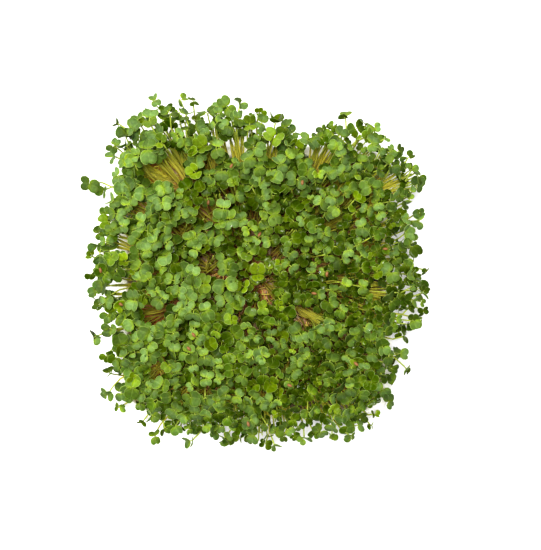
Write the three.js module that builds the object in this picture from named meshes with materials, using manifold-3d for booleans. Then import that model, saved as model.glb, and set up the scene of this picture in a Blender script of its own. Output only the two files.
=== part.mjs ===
// A square tray of microgreens: brassica seedlings with two-lobed seed leaves, rooted in tufts in a
// fibre pad that fills a shallow white tray. Millimetres, +Z up. The origin is the middle of the
// tray's underside, and the tray's sides lie along X and Y.
import * as THREE from "three";
import { mergeVertices } from "three/addons/utils/BufferGeometryUtils.js";
import Module from "manifold-3d";

const wasm = await Module();
wasm.setup();

const UP = new THREE.Vector3(0, 0, 1);
const { degToRad, euclideanModulo, lerp, smoothstep } = THREE.MathUtils;

// ---------------------------------------------------------------- driving dimensions

const CLEARANCE = 0.3; // between pieces that touch

// Tray: a five-inch square, thin-walled, with a turned-down lip and shallow flutes in its walls. A
// "half" is the distance from the middle of the tray to the outside of a side.
const RIM_HALF = 63.5;
const NECK_HALF = 59.4; // where the flutes end
const FOOT_HALF = 57.6; // where the flutes start
const BASE_HALF = 56;
const TRAY_HEIGHT = 25;
const NECK_HEIGHT = 20;
const FOOT_HEIGHT = 3.4;
const WALL = 1.1;
const FLOOR = 1.2;
const FLARE = 0.6; // from the neck out to the lip
const LIP_DROP = 4;
const LIP_WALL = 1.2;
const LIP_THICKNESS = 1.4;
const FLUTE_DEPTH = 0.8;
const CORNER_CENTRE = 47; // all arcs of one corner share a centre at (47, 47)
const CORNER_STEPS = 4;
const TRAY_SIDE_STEPS = 8;
const PAD_SIDE_STEPS = 1;

// Ribs on the tray's floor, open underneath, which keep the pad off the water.
const RIB_LINES = [9, 27, 43];
const RIB_LENGTH = 84;
const RIB_WIDTH = 2.6;
const RIB_TOP = 2.8;
const RIB_END_WALL = 1;
const RIB_GROOVE_WIDTH = 1.2;
const RIB_GROOVE_TOP = 1.8;

// Pad, with one plain hole for each tuft's roots.
const PAD_BOTTOM = RIB_TOP + CLEARANCE;
const PAD_TOP = 14;
const PAD_HALF_BOTTOM = 55.1;
const PAD_HALF_TOP = 56.4;
const PAD_EDGE = 0.7;
const ROOT_RADIUS = 7.8;
const ROOT_TAPER = 0.97;
const ROOT_SIDES = 6;
const ROOT_DEPTH = 2.6;
const ROOT_PROUD = 0.5;

// Tufts stand in staggered rows, six and five by turns.
const TUFT_PITCH = 17.8;
const TUFT_ROW = 15.2;
const TUFT_ROWS_EACH_SIDE = 3;
const TUFTS_IN_LONG_ROW = 6;
const TUFT_REACH = 6; // how far from its middle a tuft's stems leave the roots

// Seedlings stand in finer staggered rows, at three levels so that their leaves pass each other.
const SEEDLING_PITCH = 9.6;
const FIELD_HALF = 51.5; // half the width of the planted square
const FIELD_POWER = 6; // of the superellipse that rounds the planted square's corners
const BASE_JITTER = 0.9;
const LEVEL_STEP = 4.2;
const HEIGHT_JITTER = 0.9;
const STEM_HALF_ROOT = 0.7;
const STEM_HALF_TOP = 0.52;
const STEM_SUNK = 1.4;
const KNEE_OUT = 0.14; // the share of its lean that a stem has gained at its knee
const KNEE_UP = 0.6; // the knee's height, as a share of the stem's
const COLLAR = 0.8; // the height of the stem's top, from which both leaves grow
const LEVELLING = 0.45; // how far a head turns from its stem's direction towards upright

// Canopy height above the pad in the middle, on the shoulder and at the edge.
const MIDDLE_HEIGHT = 41;
const SHOULDER_HEIGHT = 46;
const EDGE_HEIGHT = 31;
const SHOULDER_AT = 0.6;

// The edge of the canopy, anticlockwise from +X.
const CANOPY_EDGE = [
  [80, 6], [72, 17], [76, 31], [66, 36], [76, 45], [66, 60], [53, 71], [40, 72], [34, 73], [24, 64],
  [14, 75], [2, 74], [-14, 82], [-30, 79], [-48, 79], [-61, 59], [-66, 48], [-63, 33], [-71, 21],
  [-73, -3], [-68, -18], [-65, -30], [-66, -44], [-55, -60], [-43, -70], [-28, -69], [-21, -66],
  [2, -69], [11, -76], [25, -67], [40, -69], [53, -65], [61, -50], [69, -42], [60, -31], [72, -20],
  [78, -3],
];
const HEAD_INSET = 6.5; // from a seedling's head to its leaf tips

// Heads of the seedlings that lean out past that edge.
const STRAY_HEADS = [[-70, 42], [-60, 68], [-43, 79]];

// Partings in the canopy, where the stems show: x, y and radius at canopy height.
const PARTINGS = [
  [-35, 46, 7], [-10, 53, 6], [-21, 7, 6], [-42, -12, 7], [-43, -36, 6], [6, -3, 4],
  [20, -14, 6], [-13, 26, 4], [36, 26, 5], [11, 15, 4], [50, 41, 5],
];

// Seed leaf: a short stalk that opens into two round lobes with a notch between them. LEAF_SIDE
// runs along one side from the stalk to the lobe's tip.
const LEAF_SIDE = [[2.2, 0.5], [4, 4.2], [6.9, 5.4], [9.5, 3.5]];
const LEAF_NOTCH = 8.2;
const LEAF_THICKNESS = 0.62;
const LEAF_CUP = 0.04; // rise of the lobes, per mm of width squared
const LEAF_DROOP = 0.02; // fall along the leaf, per mm of length squared
const LEAF_LIFT = degToRad(11);
const LEAF_SIZE_JITTER = 0.08;
const SMALL_LEAF = 0.84; // the second leaf of a pair, against the first

// How a seedling looks for room: it turns, stands a little higher or lower, then grows less.
const SPIN_TRIES = 25;
const GOLDEN_ANGLE = Math.PI * (3 - Math.sqrt(5));
const HEIGHT_TRIES = [0, 2.5, -2.5, 5, -5];
const SIZE_TRIES = [1, 0.86];

const SLIVER = 0.004; // joined skins lose edges shorter than this
const SEED = 20817;

// ---------------------------------------------------------------- materials

const white_plastic = new THREE.MeshStandardMaterial({ color: 0xf2f2ee, roughness: 0.4, metalness: 0 });
const fibre = new THREE.MeshStandardMaterial({ color: 0xc9bda6, roughness: 0.95, metalness: 0 });
const leaf_green = new THREE.MeshStandardMaterial({ color: 0x6f9a3c, roughness: 0.55, metalness: 0 });

// ---------------------------------------------------------------- random numbers

function seededRandom(seed) {
  let state = seed >>> 0;
  return () => {
    state = (state + 0x6d2b79f5) >>> 0;
    let t = state;
    t = Math.imul(t ^ (t >>> 15), t | 1);
    t ^= t + Math.imul(t ^ (t >>> 7), t | 61);
    return ((t ^ (t >>> 14)) >>> 0) / 4294967296;
  };
}

const random = seededRandom(SEED);
const spread = (amount) => (random() * 2 - 1) * amount;

// ---------------------------------------------------------------- solids

function toSolid(geometry) {
  const bare = new THREE.BufferGeometry();
  bare.setAttribute("position", geometry.getAttribute("position"));
  bare.setIndex(geometry.index);
  const merged = mergeVertices(bare, 1e-4);
  return new wasm.Manifold(
    new wasm.Mesh({
      numProp: 3,
      vertProperties: new Float32Array(merged.getAttribute("position").array),
      triVerts: new Uint32Array(merged.index.array),
    }),
  );
}

function toGeometry(solid) {
  const mesh = solid.getMesh();
  const geometry = new THREE.BufferGeometry();
  geometry.setAttribute("position", new THREE.BufferAttribute(mesh.vertProperties, 3));
  geometry.setIndex(new THREE.BufferAttribute(mesh.triVerts, 1));
  geometry.computeVertexNormals();
  return geometry;
}

function joined(solids) {
  return wasm.Manifold.union(solids).simplify(SLIVER);
}

// A closed skin built up ring by ring. A ring is a list of the numbers of its points, and runs
// anticlockwise seen from outside the end that it closes.
class Skin {
  points = [];
  triangles = [];

  ring(points) {
    const first = this.points.length;
    this.points.push(...points);
    return points.map((_, i) => first + i);
  }

  // Joins two rings all round, except along the sides in open.
  band(lower, upper, open = []) {
    for (let i = 0; i < lower.length; i++) {
      if (open.includes(i)) continue;
      const j = (i + 1) % lower.length;
      this.triangles.push([lower[i], lower[j], upper[j]], [lower[i], upper[j], upper[i]]);
    }
  }

  // Closes a ring with triangles to its middle.
  cap(ring) {
    const middle = new THREE.Vector3();
    ring.forEach((i) => middle.addScaledVector(this.points[i], 1 / ring.length));
    const [centre] = this.ring([middle]);
    ring.forEach((corner, i) => this.triangles.push([centre, corner, ring[(i + 1) % ring.length]]));
  }

  // Closes a ring with triangles to one of its own points.
  fan(ring, hub = 0) {
    for (let i = hub + 1; i < hub + ring.length - 1; i++) {
      this.triangles.push([ring[hub], ring[i % ring.length], ring[(i + 1) % ring.length]]);
    }
  }

  solid() {
    const geometry = new THREE.BufferGeometry();
    const numbers = this.points.flatMap((point) => point.toArray());
    geometry.setAttribute("position", new THREE.Float32BufferAttribute(numbers, 3));
    geometry.setIndex(this.triangles.flat());
    return toSolid(geometry);
  }
}

function loft(sections) {
  const skin = new Skin();
  const rings = sections.map((points) => skin.ring(points));
  for (let i = 1; i < rings.length; i++) skin.band(rings[i - 1], rings[i]);
  skin.cap(rings[0].toReversed());
  skin.cap(rings.at(-1));
  return skin.solid();
}

// A rounded square at height z. Where flute is given, the straight sides wave in and out by it.
function roundedSquare(half, z, sideSteps, flute = 0) {
  const points = [];
  const radius = half - CORNER_CENTRE;
  for (let side = 0; side < 4; side++) {
    const turn = (side * Math.PI) / 2;
    for (let i = 0; i < sideSteps; i++) {
      const along = lerp(-CORNER_CENTRE, CORNER_CENTRE, i / sideSteps);
      points.push(new THREE.Vector3(half - (i % 2) * flute, along, z).applyAxisAngle(UP, turn));
    }
    for (let i = 0; i < CORNER_STEPS; i++) {
      const angle = ((i / CORNER_STEPS) * Math.PI) / 2;
      const x = CORNER_CENTRE + radius * Math.cos(angle);
      const y = CORNER_CENTRE + radius * Math.sin(angle);
      points.push(new THREE.Vector3(x, y, z).applyAxisAngle(UP, turn));
    }
  }
  return points;
}

// ---------------------------------------------------------------- tray and pad

function ribSolid(length, width, bottom, top, y) {
  const box = new THREE.BoxGeometry(length, width, top - bottom);
  return toSolid(box.translate(0, y, (top + bottom) / 2));
}

function traySolid() {
  const underLip = TRAY_HEIGHT - LIP_THICKNESS;
  const lipEnd = TRAY_HEIGHT - LIP_DROP;
  // Half, height and flute depth, from the base up the outside and down the inside to the floor.
  const profile = [
    [BASE_HALF, 0, 0],
    [FOOT_HALF, FOOT_HEIGHT, FLUTE_DEPTH],
    [NECK_HALF, NECK_HEIGHT, FLUTE_DEPTH],
    [NECK_HALF + FLARE, underLip, 0],
    [RIM_HALF - LIP_WALL, underLip, 0],
    [RIM_HALF - LIP_WALL, lipEnd, 0],
    [RIM_HALF, lipEnd, 0],
    [RIM_HALF, TRAY_HEIGHT, 0],
    [NECK_HALF + FLARE - WALL, TRAY_HEIGHT, 0],
    [NECK_HALF - WALL, NECK_HEIGHT, FLUTE_DEPTH],
    [FOOT_HALF - WALL, FOOT_HEIGHT + FLOOR / 2, FLUTE_DEPTH],
    [BASE_HALF - WALL, FLOOR, 0],
  ];
  const shell = loft(profile.map(([half, z, flute]) => roundedSquare(half, z, TRAY_SIDE_STEPS, flute)));
  const lines = RIB_LINES.flatMap((y) => [-y, y]);
  const ribs = lines.map((y) => ribSolid(RIB_LENGTH, RIB_WIDTH, FLOOR / 2, RIB_TOP, y));
  const grooveLength = RIB_LENGTH - 2 * RIB_END_WALL;
  const grooves = lines.map((y) => ribSolid(grooveLength, RIB_GROOVE_WIDTH, -FLOOR, RIB_GROOVE_TOP, y));
  return joined([shell, ...ribs]).subtract(joined(grooves));
}

function rootPlug({ x, y }, radius, bottom, top) {
  const plug = new THREE.CylinderGeometry(radius, radius * ROOT_TAPER, top - bottom, ROOT_SIDES);
  return toSolid(plug.rotateX(Math.PI / 2).translate(x, y, (top + bottom) / 2));
}

function padSolid(tufts) {
  const block = loft([
    roundedSquare(PAD_HALF_BOTTOM, PAD_BOTTOM, PAD_SIDE_STEPS),
    roundedSquare(PAD_HALF_TOP, PAD_TOP - PAD_EDGE, PAD_SIDE_STEPS),
    roundedSquare(PAD_HALF_TOP - PAD_EDGE, PAD_TOP, PAD_SIDE_STEPS),
  ]);
  const bottom = PAD_TOP - ROOT_DEPTH - CLEARANCE;
  const holes = tufts.map((tuft) => rootPlug(tuft, ROOT_RADIUS + CLEARANCE, bottom, PAD_TOP + 1));
  return block.subtract(joined(holes));
}

function tuftPlaces() {
  const places = [];
  for (let row = -TUFT_ROWS_EACH_SIDE; row <= TUFT_ROWS_EACH_SIDE; row++) {
    const count = TUFTS_IN_LONG_ROW - ((row + TUFT_ROWS_EACH_SIDE) % 2);
    for (let i = 0; i < count; i++) {
      places.push({ x: (i - (count - 1) / 2) * TUFT_PITCH, y: row * TUFT_ROW });
    }
  }
  return places;
}

// ---------------------------------------------------------------- canopy

const fullTurn = (angle) => euclideanModulo(angle, 2 * Math.PI);

const edgeByAngle = CANOPY_EDGE.map(([x, y]) => {
  return { angle: fullTurn(Math.atan2(y, x)), reach: Math.hypot(x, y) };
}).sort((a, b) => a.angle - b.angle);

// How far the leaves reach from the middle in a direction.
function canopyReach(direction) {
  const angle = fullTurn(direction);
  const next = edgeByAngle.findIndex((point) => point.angle > angle);
  const after = edgeByAngle.at(Math.max(next, 0));
  const before = edgeByAngle.at(next < 0 ? -1 : next - 1);
  const gap = fullTurn(after.angle - before.angle);
  return lerp(before.reach, after.reach, fullTurn(angle - before.angle) / gap);
}

// 0 in the middle of the planted square and 1 at its edge.
function fieldShare(x, y) {
  const sum = Math.abs(x / FIELD_HALF) ** FIELD_POWER + Math.abs(y / FIELD_HALF) ** FIELD_POWER;
  return sum ** (1 / FIELD_POWER);
}

function canopyHeight(share) {
  if (share < SHOULDER_AT) {
    return lerp(MIDDLE_HEIGHT, SHOULDER_HEIGHT, smoothstep(share, 0, SHOULDER_AT));
  }
  const out = (share - SHOULDER_AT) / (1 - SHOULDER_AT);
  return lerp(SHOULDER_HEIGHT, EDGE_HEIGHT, out * out);
}

// Moves a head out of the partings.
function partHead(head) {
  for (const [x, y, radius] of PARTINGS) {
    const away = new THREE.Vector3(head.x - x, head.y - y, 0);
    const distance = away.length();
    if (distance < 2 * radius) {
      head.addScaledVector(away.normalize(), radius - distance / 2);
    }
  }
}

function nearest(items, distance) {
  return items.reduce((best, item) => (distance(item) < distance(best) ? item : best));
}

// A seedling rooted at (x, y), with its tuft, its head and its first leaf's direction and size.
function seedlingPlace(x, y, level, tufts) {
  const share = fieldShare(x, y);
  const angle = Math.atan2(y, x);
  const out = share * (canopyReach(angle) - HEAD_INSET);
  const height = canopyHeight(share) + level * LEVEL_STEP + spread(HEIGHT_JITTER);
  const head = new THREE.Vector3(out * Math.cos(angle), out * Math.sin(angle), PAD_TOP + height);
  partHead(head);
  const tuft = nearest(tufts, (t) => Math.hypot(t.x - x, t.y - y));
  const root = new THREE.Vector3(x - tuft.x, y - tuft.y, 0).clampLength(0, TUFT_REACH);
  root.add(new THREE.Vector3(tuft.x, tuft.y, PAD_TOP + ROOT_PROUD - STEM_SUNK));
  return { tuft, root, head, spin: fullTurn(spread(Math.PI)), size: 1 + spread(LEAF_SIZE_JITTER) };
}

function seedlingPlaces(tufts) {
  const places = [];
  const row = SEEDLING_PITCH * Math.sin(Math.PI / 3);
  const rows = Math.ceil(FIELD_HALF / row);
  for (let j = -rows; j <= rows; j++) {
    const odd = j & 1;
    for (let i = -rows; i <= rows; i++) {
      const x = (i + odd / 2) * SEEDLING_PITCH + spread(BASE_JITTER);
      const y = j * row + spread(BASE_JITTER);
      const level = euclideanModulo(i - (j - odd) / 2 - j, 3) - 1; // never a neighbour's
      if (fieldShare(x, y) <= 1) places.push(seedlingPlace(x, y, level, tufts));
    }
  }
  for (const [x, y] of STRAY_HEADS) {
    const stray = nearest(places, ({ head }) => Math.hypot(head.x - x, head.y - y));
    stray.head.setX(x).setY(y);
  }
  return places;
}

// ---------------------------------------------------------------- seedling

// A square section through a stem, in a frame whose Z runs along the stem.
function stemSection(centre, half, frame, rise = 0) {
  const corners = [[1, 1], [-1, 1], [-1, -1], [1, -1]];
  return corners.map(([x, y]) =>
    new THREE.Vector3(x * half, y * half, rise).applyQuaternion(frame).add(centre),
  );
}

// One face of a leaf from the right side of its stalk round the tip to the left side, with X along
// the leaf and Z up. The two corners where it meets the stem are left out.
function leafFace(size, offset) {
  const right = LEAF_SIDE.map(([u, v]) => [u, -v]);
  return [...right, [LEAF_NOTCH, 0], ...LEAF_SIDE.toReversed()].map(([u, v]) => {
    const rise = LEAF_CUP * v * v + Math.tan(LEAF_LIFT) * u - LEAF_DROOP * u * u;
    return new THREE.Vector3(u * size, v * size, rise * size + offset);
  });
}

// Grows a leaf out of one side of the stem's top, between its corners right and left.
function addLeaf(skin, collar, crown, [right, left], place, size) {
  const edges = [collar, crown].map((section, i) => {
    const face = leafFace(size, (i - 0.5) * LEAF_THICKNESS).map((point) => point.applyMatrix4(place));
    return [section[right], ...skin.ring(face), section[left]];
  });
  const [under, over] = edges;
  const stemSide = under.length - 1;
  const notch = stemSide / 2;
  skin.band(under, over, [stemSide]);
  skin.fan(over, notch);
  skin.fan(under.toReversed(), notch);
}

// One skin for a whole seedling: a square stem whose top opens on two opposite sides into leaves.
function seedlingSolid(root, head, spin, size) {
  const lean = new THREE.Vector3().subVectors(head, root);
  const knee = new THREE.Vector3(lean.x * KNEE_OUT, lean.y * KNEE_OUT, lean.z * KNEE_UP).add(root);
  const facing = new THREE.Vector3().subVectors(head, knee).normalize().lerp(UP, LEVELLING).normalize();
  const spun = new THREE.Quaternion().setFromAxisAngle(UP, spin);
  const frameAlong = (z) => new THREE.Quaternion().setFromUnitVectors(UP, z).multiply(spun);
  const headFrame = frameAlong(facing);
  const kneeHalf = lerp(STEM_HALF_ROOT, STEM_HALF_TOP, KNEE_UP);

  const skin = new Skin();
  const base = skin.ring(stemSection(root, STEM_HALF_ROOT, spun));
  const middle = skin.ring(stemSection(knee, kneeHalf, frameAlong(lean.normalize())));
  const collar = skin.ring(stemSection(head, STEM_HALF_TOP, headFrame, -COLLAR / 2));
  const crown = skin.ring(stemSection(head, STEM_HALF_TOP, headFrame, COLLAR / 2));
  skin.fan(base.toReversed());
  skin.band(base, middle);
  skin.band(middle, collar);
  skin.band(collar, crown, [1, 3]);
  skin.fan(crown);

  const front = new THREE.Matrix4().compose(head, headFrame, new THREE.Vector3(1, 1, 1));
  const back = front.clone().multiply(new THREE.Matrix4().makeRotationZ(Math.PI));
  addLeaf(skin, collar, crown, [3, 0], front, size);
  addLeaf(skin, collar, crown, [1, 2], back, size * SMALL_LEAF);
  return skin.solid();
}

function boxesMeet(a, b) {
  return a.min.every((low, i) => low - CLEARANCE < b.max[i] && b.min[i] - CLEARANCE < a.max[i]);
}

// Grows each seedling clear of all that stand already, and leaves out one that finds no room. An
// obstacle with a tuft is that tuft's roots, which only its own seedlings may touch.
function growSeedlings(places, obstacles) {
  const standing = obstacles.map(({ solid, tuft }) => ({ solid, tuft, box: solid.boundingBox() }));
  const grow = ({ tuft, root, head, spin, size }) => {
    const others = standing.filter((other) => other.tuft !== tuft);
    const isClear = (solid, box) =>
      others.every((o) => !boxesMeet(box, o.box) || solid.minGap(o.solid, CLEARANCE) >= CLEARANCE);
    for (const share of SIZE_TRIES) {
      for (let i = 0; i < SPIN_TRIES; i++) {
        const tip = head.clone().setZ(head.z + HEIGHT_TRIES[i % HEIGHT_TRIES.length]);
        const solid = seedlingSolid(root, tip, spin + i * GOLDEN_ANGLE, size * share);
        const box = solid.boundingBox();
        if (isClear(solid, box)) {
          standing.push({ solid, box });
          return [{ tuft, solid }];
        }
      }
    }
    return [];
  };
  return places.flatMap(grow);
}

// ---------------------------------------------------------------- assembly

function named(name, solid, material) {
  const mesh = new THREE.Mesh(toGeometry(solid), material);
  mesh.name = name;
  return mesh;
}

const tufts = tuftPlaces();
const tray = traySolid();
const rootPlugs = tufts.map((tuft) => {
  return { tuft, solid: rootPlug(tuft, ROOT_RADIUS, PAD_TOP - ROOT_DEPTH, PAD_TOP + ROOT_PROUD) };
});
const seedlings = growSeedlings(seedlingPlaces(tufts), [{ solid: tray }, ...rootPlugs]);

const microgreens = new THREE.Group();
microgreens.add(named("tray", tray, white_plastic));
microgreens.add(named("growing_pad", padSolid(tufts), fibre));
rootPlugs.forEach(({ tuft, solid: roots }, i) => {
  const grown = seedlings.filter((seedling) => seedling.tuft === tuft).map(({ solid }) => solid);
  const name = `tuft_${String(i + 1).padStart(2, "0")}`;
  microgreens.add(named(name, joined([roots, ...grown]), leaf_green));
});

export default microgreens;
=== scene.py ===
import functools
import math

import bpy
import numpy as np
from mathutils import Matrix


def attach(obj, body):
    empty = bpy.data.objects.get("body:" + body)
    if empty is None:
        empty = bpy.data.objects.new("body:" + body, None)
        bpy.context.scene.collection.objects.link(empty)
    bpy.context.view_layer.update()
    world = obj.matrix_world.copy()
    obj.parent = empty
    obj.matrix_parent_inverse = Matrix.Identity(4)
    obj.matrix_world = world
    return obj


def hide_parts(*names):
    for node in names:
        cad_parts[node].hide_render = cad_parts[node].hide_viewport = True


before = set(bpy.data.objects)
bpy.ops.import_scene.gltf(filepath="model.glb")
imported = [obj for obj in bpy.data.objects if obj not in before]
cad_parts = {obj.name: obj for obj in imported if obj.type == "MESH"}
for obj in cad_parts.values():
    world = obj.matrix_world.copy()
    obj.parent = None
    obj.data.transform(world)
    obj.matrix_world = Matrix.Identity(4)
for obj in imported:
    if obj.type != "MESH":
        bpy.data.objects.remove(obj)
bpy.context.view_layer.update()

bl_info = {
    "name": "Microgreens Tray",
    "version": (1, 0, 0),
    "blender": (4, 5, 0),
    "location": "3D View > Sidebar > Microgreens",
    "description": "Dresses a tray of brassica microgreens with its leaves, stems, pad and tray",
    "category": "Object",
}

MM = 0.001
UP = np.array([0, 0, 1.0])
BODY = "root"
TUFT_NODES = sorted(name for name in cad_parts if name.startswith("tuft_"))

# The tray and pad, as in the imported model. A "half" is measured from the middle to a side.
RIM_HALF = 63.5
NECK_HALF = 59.4
FOOT_HALF = 57.6
BASE_HALF = 56.0
TRAY_HEIGHT = 25.0
NECK_HEIGHT = 20.0
FOOT_HEIGHT = 3.4
TRAY_WALL = 1.1
TRAY_FLOOR = 1.2
LIP_DROP = 4.0
LIP_WALL = 1.2
LIP_THICKNESS = 1.4
CORNER_CENTRE = 47.0
FLUTE_PITCH = 23.5
RIB_LINES = (9.0, 27.0, 43.0)
RIB_LENGTH = 84.0
RIB_WIDTH = 2.6
RIB_TOP = 2.8
RIB_BEVEL = 0.5
RIB_GROOVE_LENGTH = 82.0
RIB_GROOVE_WIDTH = 1.2
RIB_GROOVE_TOP = 1.8
PAD_BOTTOM = 3.1
PAD_TOP = 14.0
PAD_HALF_BOTTOM = 55.1
PAD_HALF_TOP = 56.4

# Tufts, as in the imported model: staggered rows of six and five.
TUFT_PITCH = 17.8
TUFT_ROW = 15.2
TUFT_ROWS = 7
TUFTS_IN_LONG_ROW = 6

# The planted square is a superellipse of this half width and power. Roots stand in clumps, this
# share of the way out from the middle of their tuft. Spots are scattered by a share of the pitch,
# roots by millimetres.
FIELD_HALF = 52.0
FIELD_POWER = 6.0
ROOT_SPREAD = 0.78
SPOT_SCATTER = 0.3
ROOT_SCATTER = 0.25

# Canopy height above the pad in the middle, on the shoulder and at the edge.
MIDDLE_HEIGHT = 40.0
SHOULDER_HEIGHT = 46.0
EDGE_HEIGHT = 36.0
SHOULDER_AT = 0.6

# Some seedlings stay low in the canopy, by this much, and some are young.
LOW_SHARE = 0.24
LOW_DROP = (8, 20)
YOUNG_SHARE = 0.07
# How far single seedlings stand off the canopy's height.
HEIGHT_SPREAD = (-6.5, 3.5)
# Heads stand out to this power of their share of the way. Near the edge they stay inside it by about
# the inset, and by the least inset at any rate.
OUTWARD_POWER = 0.92
EDGE_INSET = 3.2
EDGE_SCATTER = 2.9
LEAST_INSET = 1.2
# Heads are pushed apart to this many times the pitch, in rounds. Each round takes up a share of what
# is missing between them, and of the way back to where they were.
HEAD_SPACING = 1.8
HEAD_ROUNDS = 40
HEAD_PUSH = 0.25
HEAD_RETURN = 0.08
# A seedling's vigour, as its middle and spread and its range, scales the width of its leaves. Low
# ones keep a share of it. One leaf of a pair is the smaller, and lengths are shares of the width.
VIGOUR = (1.0, 0.18)
VIGOUR_RANGE = (0.7, 1.32)
LOW_VIGOUR = 0.86
SMALLER_LEAF = (0.78, 1.0)
LEAF_LENGTH = (0.68, 0.86)
STALK_LENGTH = (0.2, 0.36)
# In radians: how stalks rise, how far a pair is off opposite, and how leaves lift and roll. The edge
# of the field adds to the spread of the lift, and of the tilt of whole seedlings.
STALK_RISE = (1.25, 1.7)
OPENING_SPREAD = 0.45
LIFT = 0.08
LIFT_SPREAD = 0.26
EDGE_LIFT_SPREAD = 0.34
YOUNG_LIFT = (0.5, 1.0)
ROLL_SPREAD = 0.27
TILT_SPREAD = 0.24
EDGE_TILT_SPREAD = 0.38
# A pair of leaves tries this many turns, in rounds, and keeps the one with the most room. Each leaf
# needs this share of its width round its middle, and is compared with heads within reach.
TURNS_TRIED = 12
TURN_ROUNDS = 3
LEAF_ROOM = 0.45
NEIGHBOUR_REACH = 15
# Heads from this far inside the tray's neck outwards stay this far above its lip, and rise by this
# much for each millimetre further out.
LIP_APPROACH = 8.0
LIP_CLEARANCE = 4.0
LIP_RISE = 0.7

# The edge of the canopy, anticlockwise from +X, as far as the leaf tips reach.
CANOPY_EDGE = (
    (79, 5), (77, 14), (74, 21), (76, 30), (70, 37), (77, 46), (72, 56), (67, 64), (58, 69), (50, 74),
    (41, 73), (34, 73), (24, 63), (14, 74), (6, 74), (-3, 81), (-14, 83), (-22, 78), (-30, 83),
    (-38, 82), (-49, 82), (-55, 71), (-63, 65), (-61, 52), (-66, 47), (-68, 39), (-65, 31), (-72, 22),
    (-73, 10), (-72, -3), (-68, -14), (-66, -23), (-62, -35), (-64, -44), (-58, -54), (-49, -61),
    (-41, -66), (-29, -67), (-20, -73), (-8, -73), (2, -71), (10, -76), (19, -70), (27, -69),
    (40, -69), (52, -65), (56, -56), (59, -47), (69, -39), (67, -28), (73, -21), (77, -10), (79, -3),
)
# Heads of single seedlings that lean out past that edge.
STRAY_HEADS = (
    (-69, 37), (-75, 39), (-72, 45), (-66, 42), (-60, 71), (-43, 80), (-27, 80), (76, 6), (59, -52),
    (52, -62), (67, -37), (9, -71), (-44, -68), (-65, -49), (-69, -23), (-56, 64), (-65, -31),
    (-64, -40), (-60, -55), (-50, -62), (-27, -69), (41, 72), (53, 68),
)
# Partings where the stems show: x, y and radius at canopy height.
PARTINGS = (
    (-35, 53, 4.6), (-33, 47, 4.2), (-43, 49, 4.6), (-19, 53, 3.2), (-8, 60, 4.4), (7, 57, 3.4),
    (29, 56, 4.0), (60, 44, 3.2), (-49, 33, 3.0), (-32, 23, 3.3), (-20, 31, 3.5), (-1, 31, 2.8),
    (10, 14, 2.8), (34, 26, 2.8), (-20, 8, 4.2), (-15, 3, 2.4), (-1, 9, 2.4), (6, -4, 3.3),
    (22, -14, 3.8), (28, -15, 2.6), (55, -4, 2.8), (61, -26, 2.8), (-20, -7, 2.3), (-45, -13, 4.2),
    (-40, -13, 3.2), (-36, -9, 2.6), (-43, -38, 3.6), (-31, -47, 2.4), (4, -56, 2.4), (-57, 17, 3.8),
    (-57, -1, 4.0), (-57, -22, 2.8), (-57, -42, 2.4), (-41, -54, 2.0), (-25, -65, 1.6), (-12, -64, 1.6),
)
# Crowded stems that show in the partings: foot, head, how many and how far they spread.
STEM_BRUSHES = (
    ((-29, 43), (-34, 64), 62, 3.7), ((-33, 43), (-54, 53), 40, 3.8), ((-20, 47), (-20, 63), 16, 3.5),
    ((-8, 48), (-7, 69), 17, 4.2), ((5, 47), (9, 65), 14, 4.0), ((26, 48), (34, 65), 14, 4.0),
    ((48, 38), (71, 47), 18, 4.5), ((28, 22), (41, 30), 14, 3.5), ((8, 12), (18, 21), 10, 3.5),
    ((-21, 27), (-14, 36), 8, 3.5), ((-36, 18), (-28, 27), 8, 3.5), ((-25, 3), (-14, 12), 12, 4.0),
    ((3, 1), (14, -9), 12, 3.5), ((16, -9), (34, -20), 20, 4.5), ((49, -3), (64, -5), 10, 3.5),
    ((-38, -10), (-54, -14), 4, 7.0), ((-47, -36), (-37, -42), 5, 6.0), ((2, -50), (5, -66), 12, 4.0),
)
# Where seed coats have been carried up on the leaves.
HUSKS_ON_LEAVES = (
    (21, 41), (-31, -29), (43, -36), (26, -2), (-67, 8), (-59, -4), (-8, 49), (-20, 33), (3, 21),
    (-24, -21), (18, -46), (34, 6), (-6, -62), (57, 18),
)
# Tufts within reach of this place have misted leaves. The mist thins their wax, less so further off.
MIST_CENTRE = (4, 2)
MIST_REACH = 12.0
MIST_FADE = 9.0

MIX_A, MIX_B = 6, 7  # the colour inputs of a Mix node


# ------------------------------------------------------------------ settings


def length_setting(name, description, millimetres):
    size = millimetres * MM
    return bpy.props.FloatProperty(name=name, description=description, default=size, unit="LENGTH")


def colour_setting(name, description, value):
    return bpy.props.StringProperty(name=name, description=description, default=value)


class SeedlingSettings(bpy.types.PropertyGroup):
    """The seedlings: how close they stand, how large they are and their colours."""

    seed: bpy.props.IntProperty(name="Seed", description="Draws another tray of seedlings", default=11)
    pitch: length_setting("Pitch", "Between neighbouring seedlings", 3.1)
    leaf_width: length_setting("Leaf width", "Over both lobes of a middling leaf", 5.5)
    stem_radius: length_setting("Stem radius", "At the foot of a stem", 0.42)
    young_green: colour_setting("Young green", "Seed leaf near its stalk", "#849812")
    leaf_green: colour_setting("Leaf green", "Seed leaf with no bloom", "#566E06")
    bloom_green: colour_setting("Waxy green", "Seed leaf with its waxy bloom", "#728A52")
    rim_green: colour_setting("Rim green", "Rim and veins of a seed leaf", "#B4C87A")
    stem_top: colour_setting("Stem top", "Upper stem and leaf stalks", "#9CA84C")
    stem_olive: colour_setting("Stem olive", "Middle of a stem", "#CAC45C")
    stem_foot: colour_setting("Stem foot", "Lower stem, reddened by light", "#DEB07A")


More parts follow.
